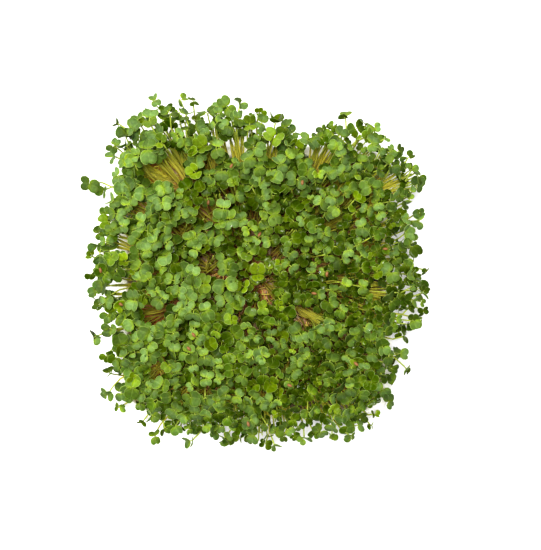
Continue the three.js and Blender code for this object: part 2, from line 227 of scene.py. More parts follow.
class PadSettings(bpy.types.PropertyGroup):
    """The growing pad, with what lies on it."""

    fibre: colour_setting("Fibre", "Damp plant fibre", "#DCC8A0")
    husk: colour_setting("Husk", "Spent seed coat", "#A67C50")
    root: colour_setting("Root", "Surface roots", "#E6DCC6")
    husks: bpy.props.IntProperty(name="Husks", description="How many lie on the pad", default=520)
    fibres: bpy.props.IntProperty(name="Fibres", description="Loose fibres on the pad", default=420)


class TraySettings(bpy.types.PropertyGroup):
    """The tray's moulded plastic."""

    plastic: colour_setting("Plastic", "Moulded plastic", "#E4E4DF")
    flute_depth: length_setting("Flute depth", "In the walls", 1.1)


class StageSettings(bpy.types.PropertyGroup):
    """The floor, the light and the camera."""

    floor: colour_setting("Floor", "Pale floor", "#EFEFEF")
    camera_height: length_setting("Camera height", "Above the pad", 600)
    camera_x: length_setting("Camera X", "From the tray's middle", 7.3)
    camera_y: length_setting("Camera Y", "From the tray's middle", 3.8)
    view_width: length_setting("View width", "What the camera sees at the pad", 255.2)


# ------------------------------------------------------------------ meshes


def new_piece(name, points, faces, material, slot, attributes=None, soft=None):
    """Makes a mesh that rides on the body. faces is a list of (n, 3) and (n, 4) arrays.

    The mesh is smooth all over, or only on the faces that soft marks.
    """
    mesh = bpy.data.meshes.new(name)
    mesh.vertices.add(len(points))
    mesh.vertices.foreach_set("co", (points * MM).astype(np.float32).ravel())
    corners = np.concatenate([f.ravel() for f in faces]).astype(np.int32)
    sizes = np.concatenate([np.full(len(f), f.shape[1]) for f in faces])
    mesh.loops.add(len(corners))
    mesh.loops.foreach_set("vertex_index", corners)
    mesh.polygons.add(len(sizes))
    mesh.polygons.foreach_set("loop_start", (np.cumsum(sizes) - sizes).astype(np.int32))
    mesh.update(calc_edges=True)
    mesh.shade_smooth()
    if soft is not None:
        mesh.polygons.foreach_set("use_smooth", soft)
    for key, values in (attributes or {}).items():
        stored = mesh.attributes.new(key, "FLOAT_VECTOR", "POINT")
        stored.data.foreach_set("vector", values.astype(np.float32).ravel())
    mesh.materials.append(material)
    piece = bpy.data.objects.new(name, mesh)
    bpy.context.scene.collection.objects.link(piece)
    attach(piece, BODY)
    return piece


def unit(vectors):
    """The vectors at length 1."""
    return vectors / np.maximum(np.linalg.norm(vectors, axis=-1, keepdims=True), 1e-9)


def ring_band(lower, upper):
    """Quads between two closed rings of point numbers, shaped (..., n)."""
    corners = [lower, np.roll(lower, -1, -1), np.roll(upper, -1, -1), upper]
    return np.stack(corners, axis=-1).reshape(-1, 4)


def ring_fan(ring, hub):
    """Triangles from each ring, shaped (..., n), to its hub, shaped (...)."""
    hubs = np.broadcast_to(np.asarray(hub)[..., None], ring.shape)
    return np.stack([hubs, ring, np.roll(ring, -1, -1)], axis=-1).reshape(-1, 3)


def lofted(rings):
    """A closed skin through rings with the same number of points."""
    count = len(rings[0])
    points = np.concatenate([*rings, [rings[0].mean(0)], [rings[-1].mean(0)]])
    grid = np.arange(len(rings) * count).reshape(len(rings), count)
    faces = [ring_band(grid[:-1], grid[1:])]
    faces += [ring_fan(grid[0, ::-1], len(points) - 2), ring_fan(grid[-1], len(points) - 1)]
    return points, faces


def tubes(paths, radii, sides):
    """Closed tubes along paths, shaped (count, steps, 3), with radii that fit (count, steps).

    Gives the points, the faces, and each point's share of the way along and its tube's number.
    """
    count, steps, _ = paths.shape
    radii = np.broadcast_to(radii, (count, steps))
    along = unit(np.gradient(paths, axis=1))
    # A direction that is square enough to the whole of a path, to measure its sides from.
    chord = unit(paths[:, -1] - paths[:, 0])
    square = unit(np.cross(chord, np.roll(chord, 1, -1) + np.array([0.31, -0.17, 0.23])))[:, None]
    side = unit(square - along * np.sum(along * square, -1, keepdims=True))
    other = np.cross(along, side)
    turn = np.linspace(0, 2 * math.pi, sides, endpoint=False)[:, None]
    spokes = side[:, :, None] * np.cos(turn) + other[:, :, None] * np.sin(turn)
    walls = paths[:, :, None] + spokes * radii[..., None, None]
    tips = along[:, [0, -1]] * radii[:, [0, -1], None] * np.array([-0.5, 0.5])[:, None]
    points = np.concatenate([walls.reshape(-1, 3), (paths[:, [0, -1]] + tips).reshape(-1, 3)])
    grid = np.arange(count * steps * sides).reshape(count, steps, sides)
    hubs = grid.size + np.arange(count * 2).reshape(count, 2)
    faces = [
        ring_band(grid[:, :-1], grid[:, 1:]),
        ring_fan(grid[:, 0, ::-1], hubs[:, 0]),
        ring_fan(grid[:, -1], hubs[:, 1]),
    ]
    wall_share = np.tile(np.repeat(np.linspace(0, 1, steps), sides), count)
    share = np.concatenate([wall_share, np.tile([0, 1], count)])
    owner = np.concatenate([np.repeat(np.arange(count), steps * sides), np.repeat(np.arange(count), 2)])
    return points, faces, share, owner


def joined(parts):
    """One list of points and faces from several (points, faces)."""
    starts = np.cumsum([0] + [len(points) for points, _ in parts])
    faces = [face + start for (_, own), start in zip(parts, starts) for face in own]
    return np.concatenate([points for points, _ in parts]), faces


def bezier(a, b, c, d, steps):
    """Curves from a to d, drawn towards b and c on the way."""
    t = np.linspace(0, 1, steps)[None, :, None]
    a, b, c, d = (point[:, None, :] for point in (a, b, c, d))
    return a * (1 - t) ** 3 + 3 * b * t * (1 - t) ** 2 + 3 * c * t**2 * (1 - t) + d * t**3


def level_directions(angles):
    """Directions square to the height, at angles from +X."""
    return np.stack([np.cos(angles), np.sin(angles), np.zeros_like(angles)], -1)


# ------------------------------------------------------------------ canopy


def field_share(x, y):
    """0 in the middle of the planted square and 1 at its edge."""
    total = np.abs(x / FIELD_HALF) ** FIELD_POWER + np.abs(y / FIELD_HALF) ** FIELD_POWER
    return total ** (1 / FIELD_POWER)


def canopy_reach(angle):
    """How far the leaves reach from the middle in a direction."""
    edge = np.array(CANOPY_EDGE, float)
    angles = np.arctan2(edge[:, 1], edge[:, 0])
    order = np.argsort(angles)
    reach = np.hypot(edge[:, 0], edge[:, 1])
    return np.interp(angle, angles[order], reach[order], period=2 * math.pi)


def canopy_height(share):
    """The canopy's height above the pad, a share of the way out from the middle."""
    inner = np.clip(share / SHOULDER_AT, 0, 1)
    rise = MIDDLE_HEIGHT + (SHOULDER_HEIGHT - MIDDLE_HEIGHT) * inner**2 * (3 - 2 * inner)
    outer = np.clip((share - SHOULDER_AT) / (1 - SHOULDER_AT), 0, 1)
    return rise + (EDGE_HEIGHT - SHOULDER_HEIGHT) * outer**2


def tuft_places():
    """The middle of each tuft, in the order of their nodes."""
    places = []
    for row in range(TUFT_ROWS):
        count = TUFTS_IN_LONG_ROW - row % 2
        y = (row - (TUFT_ROWS - 1) / 2) * TUFT_ROW
        places += [((i - (count - 1) / 2) * TUFT_PITCH, y) for i in range(count)]
    return np.array(places)


def part_heads(heads):
    """Moves heads out of the partings."""
    for x, y, radius in PARTINGS:
        away = heads[:, :2] - (x, y)
        distance = np.linalg.norm(away, axis=1)
        heads[:, :2] += unit(away) * np.maximum(radius - distance / 2, 0)[:, None]


def relax_heads(heads, spacing, rounds):
    """Pushes heads apart until few are closer than spacing, and keeps them near where they were."""
    home = heads.copy()
    for _ in range(rounds):
        gap = heads[:, None, :] - heads[None, :, :]
        distance = np.linalg.norm(gap, axis=-1) + np.eye(len(heads)) * 1e3
        push = np.maximum(spacing - distance, 0) * HEAD_PUSH
        heads += np.sum(gap / distance[..., None] * push[..., None], axis=1)
        heads += (home - heads) * HEAD_RETURN
        part_heads(heads)


class Seedlings:
    """Where every seedling stands: its root, its head and the frames of its two leaves."""

    def __init__(self, seed, pitch, leaf_width):
        self.draw = np.random.default_rng(seed)
        self.plant(pitch)
        self.lean(pitch)
        self.size_leaves(leaf_width)
        self.turn_leaves()
        self.pose_leaves()

    def plant(self, pitch):
        """The spots in the field, the tuft that each belongs to and the foot of its stem."""
        # More rows than the field needs, which are then trimmed to it.
        rows = int(1.2 * FIELD_HALF / pitch) + 2
        j, i = np.mgrid[-rows : rows + 1, -rows : rows + 1]
        x = (i + (j % 2) / 2) * pitch
        y = j * pitch * math.sin(math.pi / 3)
        spots = np.stack([x.ravel(), y.ravel()], 1)
        spots += self.draw.uniform(-SPOT_SCATTER, SPOT_SCATTER, spots.shape) * pitch
        self.spots = spots[field_share(*spots.T) <= 1]
        self.count = len(self.spots)
        tufts = tuft_places()
        self.tuft = np.argmin(np.linalg.norm(self.spots[:, None] - tufts[None], axis=-1), axis=1)
        middle = tufts[self.tuft]
        roots = middle + (self.spots - middle) * ROOT_SPREAD
        roots += self.draw.normal(0, ROOT_SCATTER, roots.shape)
        self.feet = np.column_stack([roots, np.full(self.count, PAD_TOP)])

    def lean(self, pitch):
        """The head of each stem, and the way it faces."""
        x, y = self.spots.T
        self.share = field_share(x, y)
        angle = np.arctan2(y, x)
        scatter = self.draw.normal(0, EDGE_SCATTER, self.count) * self.share**3
        inset = np.maximum(EDGE_INSET + scatter, LEAST_INSET)
        out = self.share**OUTWARD_POWER * (canopy_reach(angle) - inset)
        low_share = LOW_SHARE * (1 - self.share**4) * (1 + 0.5 * x / FIELD_HALF)
        self.low = self.draw.uniform(0, 1, self.count) < low_share
        drop = np.where(self.low, self.draw.uniform(*LOW_DROP, self.count), 0)
        height = canopy_height(self.share) + self.draw.uniform(*HEIGHT_SPREAD, self.count) - drop
        heads = np.stack([out * np.cos(angle), out * np.sin(angle), height], 1)
        for stray in STRAY_HEADS:
            nearest = np.argmin(np.linalg.norm(heads[:, :2] - stray, axis=1))
            heads[nearest, :2] = stray
        part_heads(heads)
        relax_heads(heads, HEAD_SPACING * pitch, HEAD_ROUNDS)
        self.above = heads[:, 2] - canopy_height(self.share)
        # Stems that lean out past the tray's wall clear its lip.
        past = np.abs(heads[:, :2]).max(axis=1) - (NECK_HALF - LIP_APPROACH)
        clear = np.where(past > 0, TRAY_HEIGHT + LIP_CLEARANCE + past * LIP_RISE, 0)
        heads[:, 2] = np.maximum(heads[:, 2] + PAD_TOP, clear)
        self.heads = heads
        # Seedlings face along their stems and upwards, the latter less so near the edge.
        edge = self.share[:, None] ** 5
        tilt = self.draw.normal(0, 1, (self.count, 3)) * (TILT_SPREAD + EDGE_TILT_SPREAD * edge)
        upward = UP * 0.8 * (1 - 0.8 * edge)
        self.facing = unit(unit(heads - self.feet) * (1 + 0.6 * edge) + upward + tilt)

    def size_leaves(self, width):
        """The width and length of each leaf, and its stalk's length and rise."""
        pairs = (self.count, 2)
        vigour = np.clip(self.draw.normal(*VIGOUR, self.count), *VIGOUR_RANGE)
        vigour *= np.where(self.low, LOW_VIGOUR, 1.0)
        vigour *= 1 + 0.09 * np.clip((self.spots[:, 1] * 0.5 - self.spots[:, 0]) / FIELD_HALF, -1, 1)
        smaller = self.draw.uniform(*SMALLER_LEAF, self.count)
        self.widths = np.stack([vigour, vigour * smaller], 1) * width
        self.lengths = self.widths * self.draw.uniform(*LEAF_LENGTH, pairs)
        self.stalks = self.widths * self.draw.uniform(*STALK_LENGTH, pairs)
        self.rises = self.draw.uniform(*STALK_RISE, pairs)

    def leaf_directions(self, spin, facing):
        """Level directions in the plane square to facing."""
        level_x = unit(np.cross(np.array([0.0, 1.0, 0.0]), facing))
        level_y = np.cross(facing, level_x)
        return level_x * np.cos(spin)[..., None] + level_y * np.sin(spin)[..., None]

    def turn_leaves(self):
        """Turns each pair of leaves to where it meets the fewest others."""
        opening = math.pi + self.draw.normal(0, OPENING_SPREAD, self.count)
        spins = self.draw.uniform(0, 2 * math.pi, self.count)
        options = np.linspace(0, math.pi * 2, TURNS_TRIED, endpoint=False)
        reach = self.stalks * np.cos(self.rises) + self.lengths * LEAF_MIDDLE
        flat = np.array([1, 1, 2.2])  # leaves are thin, so they need less room above each other

        def centres(index, spin):
            both = np.stack([spin, spin + opening[index]], -1)
            facing = np.broadcast_to(self.facing[index], both.shape + (3,))
            return self.heads[index] + self.leaf_directions(both, facing) * reach[index][..., None]

        placed = np.stack([centres(i, spins[i]) for i in range(self.count)])
        for _ in range(TURN_ROUNDS):
            for i in self.draw.permutation(self.count):
                aside = np.linalg.norm(self.heads[:, :2] - self.heads[i, :2], axis=1)
                near = aside < NEIGHBOUR_REACH
                near[i] = False
                others = placed[near].reshape(-1, 3) * flat
                room = self.widths[near].reshape(-1) * LEAF_ROOM
                candidates = np.stack([centres(i, spins[i] + o) for o in options]) * flat
                gap = np.linalg.norm(candidates[:, :, None] - others, axis=-1)
                need = (self.widths[i] * LEAF_ROOM)[None, :, None] + room
                cost = np.sum(np.maximum(1 - gap / need, 0) ** 2, axis=(1, 2))
                spins[i] += options[np.argmin(cost)]
                placed[i] = centres(i, spins[i])
        self.spins = np.stack([spins, spins + opening], 1)

    def pose_leaves(self):
        """The stalk end and the directions of every leaf: along it and up from its face."""
        pairs = (self.count, 2)
        facing = np.repeat(self.facing[:, None], 2, 1)
        level = self.leaf_directions(self.spins, facing)
        spread = LIFT_SPREAD + EDGE_LIFT_SPREAD * self.share[:, None] ** 5
        lift = LIFT + self.draw.normal(0, 1, pairs) * spread
        # Some seedlings haven't opened yet.
        self.young = self.draw.uniform(0, 1, self.count) < YOUNG_SHARE
        lift = np.where(self.young[:, None], self.draw.uniform(*YOUNG_LIFT, pairs), lift)[..., None]
        along = unit(level * np.cos(lift) + facing * np.sin(lift))
        up = unit(np.cross(along, np.cross(facing, along)))
        roll = self.draw.normal(0, ROLL_SPREAD, pairs)[..., None]
        self.leaf_along = along
        self.leaf_up = up * np.cos(roll) + np.cross(up, along) * np.sin(roll)
        rise = self.rises[..., None]
        stalk = (level * np.cos(rise) + facing * np.sin(rise)) * self.stalks[..., None]
        self.leaf_bases = self.heads[:, None] + stalk

    def resting(self, places):
        """The middle of the topmost leaf at each place, and its directions along and up."""
        middles = self.leaf_bases + self.leaf_along * (self.lengths * LEAF_MIDDLE)[..., None]
        middles = middles.reshape(-1, 3)
        leaves = []
        for place in places:
            aside = np.linalg.norm(middles[:, :2] - place, axis=1)
            leaves.append(np.argmax(middles[:, 2] - aside * 2.5))
        return middles[leaves], self.leaf_along.reshape(-1, 3)[leaves], self.leaf_up.reshape(-1, 3)[leaves]


@functools.cache
def planted(seed, pitch, leaf_width):
    """Plants a tray once, for all the operators that ask for it."""
    return Seedlings(seed, pitch, leaf_width)


def seedlings_of(context):
    """The seedlings that the scene's settings ask for."""
    settings = context.scene.seedling_settings
    return planted(settings.seed, settings.pitch / MM, settings.leaf_width / MM)


# ------------------------------------------------------------------ leaf shape

LEAF_SIDES = 16
TOP_RINGS = (0.42, 0.76, 0.975)
UNDER_RINGS = (0.975, 0.5)
LEAF_MIDDLE = 0.45
LEAF_THICKNESS = 0.26
OUTLINE_LENGTH = 0.66  # what an outline of width 1 is divided by to fit a leaf of length 1
# How far a full cup, droop, fold or wave of the rim moves a blade, in leaf widths.
CUP_RISE = 0.16
DROOP_FALL = 0.2
FOLD_RISE = 0.2
WAVE_RISE = 0.03
# How far leaves do so: the middle and spread of each, and the range of the lobes' offset.
CUP = (-0.5, 0.75)
DROOP = (0.75, 0.5)
FOLD = (1.1, 0.75)
LOBE_OFFSET = (0.2, 0.244)


def leaf_template():
    """Each point's direction round the leaf's middle, its share of the way out and its face.

    With them come the quads, the triangles, and which of the quads are soft: the rim's aren't.
    """
    turn = np.linspace(-math.pi, math.pi, LEAF_SIDES, endpoint=False)
    turn -= 0.3 * np.sin(turn)  # closer together round the notch at the tip
    layers = [(s, 1.0) for s in TOP_RINGS] + [(1.0, 0.0)] + [(s, -1.0) for s in UNDER_RINGS]
    rows = [np.array([[0.0, 0.0, 1.0]])]
    rows += [np.column_stack([turn, np.full_like(turn, s), np.full_like(turn, f)]) for s, f in layers]
    rows.append(np.array([[0.0, 0.0, -1.0]]))
    template = np.concatenate(rows)
    rings = 1 + np.arange(len(layers) * LEAF_SIDES).reshape(len(layers), LEAF_SIDES)
    quads = ring_band(rings[1:], rings[:-1])
    triangles = [ring_fan(rings[0], 0), ring_fan(rings[-1, ::-1], len(template) - 1)]
    soft = np.ones((len(layers) - 1, LEAF_SIDES), bool)
    soft[len(TOP_RINGS) - 1 : len(TOP_RINGS) + 1] = False
    return template, quads, np.concatenate(triangles), soft.ravel()


def leaf_outline(turn, lobe):
    """How far a leaf of width 1 reaches from its middle: two round lobes set lobe off its midrib."""
    round_lobes = lobe * np.abs(np.sin(turn)) + np.sqrt((0.5 - lobe) ** 2 - (lobe * np.cos(turn)) ** 2)
    from_stalk = np.pi - np.abs(turn)
    return round_lobes + 0.1 * np.exp(-((from_stalk / 0.5) ** 2))


def leaf_blades(bases, along, up, widths, lengths, bends):
    """Closed leaves at their bases. bends holds cup, droop, fold, phase of waves and lobe offset."""
    template, quads, triangles, soft = leaf_template()
    turn, rim, level = template.T
    cup, droop, fold, phase, lobe = (bends[:, k, None] for k in range(5))
    across = np.cross(up, along)
    w = widths[:, None]
    out = leaf_outline(turn, lobe) * rim
    x = lengths[:, None] * (LEAF_MIDDLE + out * np.cos(turn) / OUTLINE_LENGTH)
    y = w * out * np.sin(turn)
    side = 2 * y / w
    rise = w * (
        cup * CUP_RISE * side**2
        - droop * DROOP_FALL * (x / lengths[:, None]) ** 2
        + fold * FOLD_RISE * (np.sqrt(side**2 + 0.02) - 0.14)
        + WAVE_RISE * rim**2 * np.sin(3 * turn + phase)
    )
    height = rise + level * LEAF_THICKNESS / 2 * (1 - 0.35 * rim**2)
    points = (
        bases[:, None]
        + along[:, None] * x[..., None]
        + across[:, None] * y[..., None]
        + up[:, None] * height[..., None]
    )
    count = len(bases)
    starts = (np.arange(count) * len(template))[:, None, None]
    faces = [(face + starts).reshape(-1, face.shape[1]) for face in (quads, triangles)]
    place = np.stack([x, y, np.broadcast_to(rim, x.shape)], -1)
    soft = np.concatenate([np.tile(soft, count), np.ones(len(faces[1]), bool)])
    return points.reshape(-1, 3), faces, place.reshape(-1, 3), soft


# ------------------------------------------------------------------ materials

VEIN_ANGLE = 0.9  # radians between neighbouring veins of a leaf
# The second colour of each pattern. The first is in the settings.
DAMP_FIBRE = "#C88450"
DAMP_LOOSE_FIBRE = "#8F6E4E"
DAMP_ROOT = "#C9B79A"
HUSK_NET = "#6A4426"
PLASTIC_SHADE = "#D8D8D2"


def to_linear(colour):
    """An sRGB hex colour as a linear RGBA value."""
    channels = [int(colour[i : i + 2], 16) / 255 for i in (1, 3, 5)]
    linear = [c / 12.92 if c <= 0.04045 else ((c + 0.055) / 1.055) ** 2.4 for c in channels]
    return (*linear, 1.0)


def add_node(tree, kind, inputs=None, **settings):
    """Adds a node. An input given a node or a socket is linked to it, and any other is set.

    Of a node given, the first output in use is linked. A colour is given in sRGB hex.
    """
    made = tree.nodes.new("ShaderNode" + kind)
    for key, value in settings.items():
        setattr(made, key, value)
    for key, value in (inputs or {}).items():
        if isinstance(value, bpy.types.Node):
            value = next(output for output in value.outputs if output.enabled)
        if isinstance(value, bpy.types.NodeSocket):
            tree.links.new(value, made.inputs[key])
        else:
            made.inputs[key].default_value = to_linear(value) if isinstance(value, str) else value
    return made


def new_material(name):
    """A material whose tree is empty, and what adds a node to that tree."""
    material = bpy.data.materials.new(name)
    material.use_nodes = True
    material.node_tree.nodes.clear()
    return material, functools.partial(add_node, material.node_tree)


def seed_leaf_material(name, settings, water):
    """Living brassica seed leaf: green flesh under a skin with a thin bloom of wax.

    The wax gives a greyish, matt green, and where there is less of it the leaf is yellower and
    glossier. Part of that pale bloom is a painted sheen on leaves painted brighter, and less bloom
    low in the canopy is painted shade. The stalk end and the veins are paler, and so is the rim,
    partly its own paler margin and partly a painted highlight. A misted leaf also has a film of
    water, as strong as water says, that shines over all of that.
    """
    material, add = new_material(name)
    place = add("Attribute", attribute_name="leaf_place").outputs["Vector"]
    kind = add("Attribute", attribute_name="leaf_tint_and_shade").outputs["Vector"]
    along, across, out = add("SeparateXYZ", {0: place}).outputs
    waxy, yellow, bright = add("SeparateXYZ", {0: kind}).outputs

    wax_left = add(
        "MapRange", {"Value": out, "From Min": 0.5, "From Max": 1.0, "To Min": 1.0, "To Max": 0.55}
    )
    wax = add("Math", {0: waxy, 1: wax_left}, operation="MULTIPLY")
    bloom = add("Mix", {0: wax, MIX_A: settings.leaf_green, MIX_B: settings.bloom_green}, data_type="RGBA")
    stalk_end = add(
        "MapRange",
        {"Value": along, "From Min": 0.0, "From Max": 2.0, "To Min": 0.6, "To Max": 0.0},
        interpolation_type="SMOOTHSTEP",
    )
    yellowing = add("Math", {0: stalk_end, 1: yellow}, operation="ADD", use_clamp=True)
    flesh = add("Mix", {0: yellowing, MIX_A: bloom, MIX_B: settings.young_green}, data_type="RGBA")

    # Three veins fan out from the stalk. They are 0.1 mm wide, and are drawn 0.2 mm wide with soft sides.
    angle = add("Math", {0: across, 1: along}, operation="ARCTAN2")
    fan = add("Math", {0: angle, 1: math.pi / VEIN_ANGLE}, operation="MULTIPLY")
    wave = add("Math", {0: fan}, operation="SINE")
    off_vein = add("Math", {0: wave}, operation="ABSOLUTE")
    flat = add("CombineXYZ", {0: along, 1: across})
    reach = add("VectorMath", {0: flat}, operation="LENGTH")
    distance = add("Math", {0: off_vein, 1: reach}, operation="MULTIPLY")
    vein = add(
        "MapRange",
        {"Value": distance, "From Min": 0.3, "From Max": 1.2, "To Min": 0.12, "To Max": 0.0},
        interpolation_type="SMOOTHSTEP",
    )
    # The pale rim is partly the leaf's own paler margin and partly a painted highlight along its edge.
    rim = add(
        "MapRange",
        {"Value": out, "From Min": 0.94, "From Max": 1.0, "To Min": 0.0, "To Max": 0.95},
        interpolation_type="SMOOTHSTEP",
    )
    pale = add("Math", {0: vein, 1: rim}, operation="MAXIMUM")
    veined = add("Mix", {0: pale, MIX_A: flesh, MIX_B: settings.rim_green}, data_type="RGBA")

    # Each leaf has its own brightness, with painted shade low in the canopy and painted light towards
    # -X and +Y, and patches 1 to 2 mm across on it differ a little.
    patches = add("TexNoise", {"Vector": place, "Scale": 0.7, "Detail": 3.0})
    patch = add(
        "MapRange", {"Value": patches, "From Min": 0.3, "From Max": 0.7, "To Min": 0.8, "To Max": 1.2}
    )
    tone = add("MapRange", {"Value": bright, "To Min": 0.3, "To Max": 1.0})
    value = add("Math", {0: tone, 1: patch}, operation="MULTIPLY")
    colour = add("HueSaturation", {"Value": value, "Color": veined})

    # Skin cells, 0.12 mm across, are too fine to show: drawn at 0.4 mm.
    cells = add("TexNoise", {"Vector": place, "Scale": 2.5, "Detail": 3.0, "Roughness": 0.6})
    relief = add("Math", {0: cells, 1: vein}, operation="SUBTRACT")
    bump = add("Bump", {"Strength": 0.3, "Distance": 0.08 * MM, "Height": relief})
    gloss = add("MapRange", {"Value": waxy, "To Min": 0.18, "To Max": 0.5})
    shader = add(
        "BsdfPrincipled",
        {
            "Base Color": colour,
            "Roughness": gloss,
            "IOR": 1.42,
            "Specular IOR Level": 0.1,
            "Subsurface Weight": 0.15,
            "Subsurface Radius": (0.4, 0.9, 0.12),
            "Subsurface Scale": 1 * MM,
            "Coat Weight": water,
            "Coat Roughness": 0.28,
            "Coat IOR": 1.333,
            "Normal": bump,
        },
    )
    add("OutputMaterial", {"Surface": shader})
    return material


def stem_material(settings):
    """Living seedling stem: juicy and smooth, so it glows a little and has a soft shine.

    It is reddish at the foot, olive in the middle and pale green at the top.
    """
    material, add = new_material("living_stem")
    place = add("Attribute", attribute_name="stem_place").outputs["Vector"]
    share, bright, _ = add("SeparateXYZ", {0: place}).outputs
    # Streaks about 2 mm long move the change of colour up or down.
    spot = add("TexCoord").outputs["Object"]
    streaks = add("TexNoise", {"Vector": spot, "Scale": 500.0, "Detail": 2.0})
    shift = add("MapRange", {"Value": streaks, "To Min": -0.16, "To Max": 0.16})
    height = add("Math", {0: share, 1: shift}, operation="ADD")
    foot = add(
        "MapRange",
        {"Value": height, "From Min": 0.06, "From Max": 0.44, "To Min": 1.0, "To Max": 0.0},
        interpolation_type="SMOOTHSTEP",
    )
    top = add(
        "MapRange", {"Value": height, "From Min": 0.5, "From Max": 0.95}, interpolation_type="SMOOTHSTEP"
    )
    upper = add("Mix", {0: top, MIX_A: settings.stem_olive, MIX_B: settings.stem_top}, data_type="RGBA")
    blend = add("Mix", {0: foot, MIX_A: upper, MIX_B: settings.stem_foot}, data_type="RGBA")
    tone = add("MapRange", {"Value": bright, "To Min": 0.85, "To Max": 1.35})
    colour = add("HueSaturation", {"Value": tone, "Color": blend})
    shader = add(
        "BsdfPrincipled",
        {
            "Base Color": colour,
            "Roughness": 0.4,
            "IOR": 1.4,
            "Specular IOR Level": 0.3,
            "Subsurface Weight": 0.35,
            "Subsurface Radius": (0.8, 0.8, 0.2),
            "Subsurface Scale": 1 * MM,
        },
    )
    add("OutputMaterial", {"Surface": shader})
    return material


def fibre_material(name, pale, dark):
    """Felted plant fibre or fine roots: matted, matt and uneven, darker where it is wetter.

    Damp patches are about 11 mm across. Threads are 0.1 to 0.3 mm thick, drawn as noise of 0.7 mm.
    """
    material, add = new_material(name)
    spot = add("TexCoord").outputs["Object"]
    damp = add("TexNoise", {"Vector": spot, "Scale": 90.0, "Detail": 4.0})
    threads = add("TexNoise", {"Vector": spot, "Scale": 1400.0, "Detail": 5.0, "Roughness": 0.7})
    dry = add("MapRange", {"Value": damp, "From Min": 0.4, "From Max": 0.6})
    soaked = add("Mix", {0: dry, MIX_A: dark, MIX_B: pale}, data_type="RGBA")
    grain = add(
        "MapRange", {"Value": threads, "From Min": 0.3, "From Max": 0.7, "To Min": 0.7, "To Max": 1.2}
    )
    colour = add("HueSaturation", {"Value": grain, "Color": soaked})
    bump = add("Bump", {"Strength": 0.8, "Distance": 0.3 * MM, "Height": threads})
    shader = add("BsdfPrincipled", {"Base Color": colour, "Roughness": 0.85, "Normal": bump})
    add("OutputMaterial", {"Surface": shader})
    return material


def husk_material(settings):
    """Spent seed coat: a thin dry shell, brown to brick red, with a fine net that dulls it."""
    material, add = new_material("dry_seed_coat")
    spot = add("TexCoord").outputs["Object"]
    # The net's meshes are 0.1 mm across, drawn at 0.4 mm.
    net = add("TexNoise", {"Vector": spot, "Scale": 2400.0, "Detail": 3.0})
    colour = add("Mix", {0: net, MIX_A: HUSK_NET, MIX_B: settings.husk}, data_type="RGBA")
    bump = add("Bump", {"Strength": 0.5, "Distance": 0.1 * MM, "Height": net})
    shader = add("BsdfPrincipled", {"Base Color": colour, "Roughness": 0.6, "Normal": bump})
    add("OutputMaterial", {"Surface": shader})
    return material


def water_material():
    """Water: clear beads left by misting, which shine and show the leaf through them."""
    material, add = new_material("clear_water")
    look = {"Base Color": "#FFFFFF", "Roughness": 0.0, "IOR": 1.333, "Transmission Weight": 1.0}
    shader = add("BsdfPrincipled", look)
    add("OutputMaterial", {"Surface": shader})
    return material


def plastic_material(settings):
    """White polypropylene, injection moulded: satin, with a fine spark-eroded texture.

    Its shine and its white are a little uneven over patches of about 30 mm.
    """
    material, add = new_material("moulded_polypropylene")
    spot = add("TexCoord").outputs["Object"]
    # The texture's pits are 0.1 mm across, drawn at 0.4 mm.
    pits = add("TexNoise", {"Vector": spot, "Scale": 2500.0, "Detail": 2.0})
    bump = add("Bump", {"Strength": 0.12, "Distance": 0.1 * MM, "Height": pits})
    cloud = add("TexNoise", {"Vector": spot, "Scale": 30.0, "Detail": 3.0})
    satin = add("MapRange", {"Value": cloud, "To Min": 0.34, "To Max": 0.5})
    colour = add("Mix", {0: cloud, MIX_A: PLASTIC_SHADE, MIX_B: settings.plastic}, data_type="RGBA")
    look = {"Base Color": colour, "Roughness": satin, "IOR": 1.49, "Normal": bump}
    shader = add("BsdfPrincipled", look)
    add("OutputMaterial", {"Surface": shader})
    return material


def paper_material(settings):
    """Matt white paper: even and unpolished, so it only takes soft shadows."""
    material, add = new_material("matt_paper")
    look = {"Base Color": settings.floor, "Roughness": 0.9, "Specular IOR Level": 0.2}
    shader = add("BsdfPrincipled", look)
    add("OutputMaterial", {"Surface": shader})
    return material


# ------------------------------------------------------------------ seedlings

# The middle and spread of the wax of a seedling and of each leaf, of brightness and of yellowing.
WAX = (0.44, 0.32)
WAX_OF_LEAF = (0, 0.12)
BRIGHTNESS = (0.49, 0.24)
LEAST_BRIGHTNESS = 0.14
YELLOWING = (0.0, 0.16)


